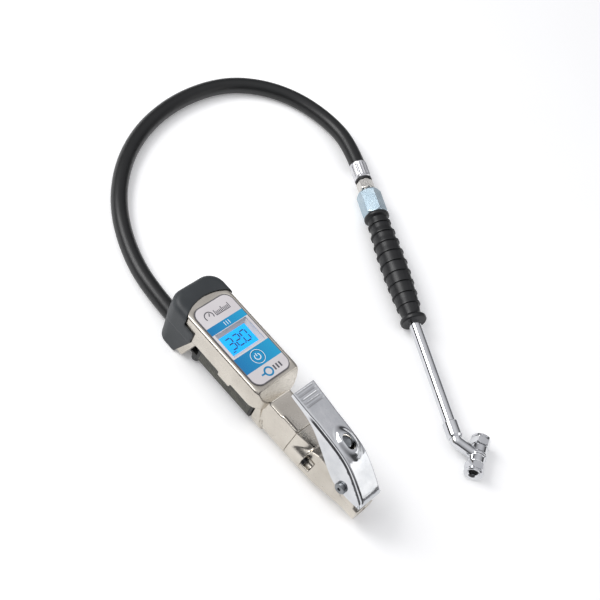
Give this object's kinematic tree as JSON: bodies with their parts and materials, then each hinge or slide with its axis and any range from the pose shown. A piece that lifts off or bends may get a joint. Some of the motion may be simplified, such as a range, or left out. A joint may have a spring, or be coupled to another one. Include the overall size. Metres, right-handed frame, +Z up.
{
  "type": "tyre inflator",
  "caption": "Hand-held tyre inflator: cast body with digital gauge and rubber boot, press lever over a valve, short hose, ribbed lance grip and twin chuck.",
  "frame": {"origin": "centre of the air inlet's mouth", "axes": "+X out of the inlet, +Y across the body towards the lance, +Z up from the table; the table is at z = -0.018"},
  "size_m": [0.4559, 0.3101, 0.073],
  "materials": {
    "casting": "satin die casting, clear coated",
    "boot_rubber": "moulded, matt",
    "seal_rubber": "moulded",
    "hose_rubber": "extruded, smooth",
    "grip_rubber": "moulded, ribbed",
    "faceplate": "printed film",
    "black_plastic": "moulded",
    "cover_plastic": "moulded, ribbed",
    "clear_window": "clear, polished",
    "display_cell": "backlit liquid crystal",
    "light_guide": "moulded, frosted",
    "board_laminate": "solder mask",
    "component_plastic": "moulded",
    "steel": "bright",
    "cell_sleeve": "printed sleeve",
    "brass": "turned",
    "lever_plating": "bright plate",
    "zinc_plating": "bluish zinc plate",
    "nickel_plating": "bright nickel",
    "ferrule_aluminium": "crimped"
  },
  "bodies": {
    "root": {"gauge_casting": "casting", "valve_body": "casting", "rubber_boot": "boot_rubber", "label_gasket": "seal_rubber", "display_pad": "seal_rubber", "cover_gasket": "seal_rubber", "transfer_seals": "seal_rubber", "sealing_ring": "seal_rubber", "chuck_washers": "seal_rubber", "hose": "hose_rubber", "grip": "grip_rubber", "label_panel": "faceplate", "display_frame": "black_plastic", "battery_tray": "black_plastic", "cover_thumbscrew": "black_plastic", "battery_cover": "cover_plastic", "display_window": "clear_window", "lcd_panel": "display_cell", "backlight_panel": "light_guide", "circuit_board": "board_laminate", "pressure_sensor": "component_plastic", "dome_switch": "component_plastic", "board_screws": "steel", "assembly_screws": "steel", "lever_pivot_screw": "steel", "lever_pivot_nut": "steel", "battery_contacts": "steel", "valve_spring": "steel", "battery_cells": "cell_sleeve", "transfer_tube": "brass", "hose_tail": "brass", "inlet_filter": "brass", "valve_seat": "brass", "valve_end_plug": "brass", "hex_adaptor": "zinc_plating", "hose_stem": "nickel_plating", "lance_tube": "nickel_plating", "tube_sleeve": "nickel_plating", "chuck_body": "nickel_plating", "chuck_caps": "nickel_plating", "hose_ferrule": "ferrule_aluminium"},
    "lever_body": {"lever": "lever_plating"},
    "plunger_body": {"valve_plunger": "steel", "plunger_seal": "seal_rubber"},
    "button_body": {"unit_button": "faceplate"},
    "shuttle_body": {"chuck_shuttle": "brass"}
  },
  "joints": [
    {"name": "lever_press", "type": "hinge", "parent": "root", "child": "lever_body", "pos_m": [-0.022, 0, 0.0182], "axis": [0, -1, 0], "range_deg": [0, 10], "stiffness_Nm_per_rad": 1.2, "springref_deg": -8.59},
    {"name": "plunger_slide", "type": "slide", "parent": "root", "child": "plunger_body", "axis": [0, 0, -1], "range_m": [0, 0.0042], "deforming": ["valve_spring"]},
    {"name": "button_press", "type": "slide", "parent": "root", "child": "button_body", "axis": [0, 0, -1], "range_m": [0, 0.0006], "stiffness_N_per_m": 400, "springref_m": -0.0005},
    {"name": "shuttle_slide", "type": "slide", "parent": "root", "child": "shuttle_body", "axis": [0.4903, -0.8716, 0], "range_m": [-0.0012, 0.0012]}
  ],
  "couplings": [
    {"joint": "plunger_slide", "follows": "lever_press", "m_per_rad": 0.024}
  ]
}
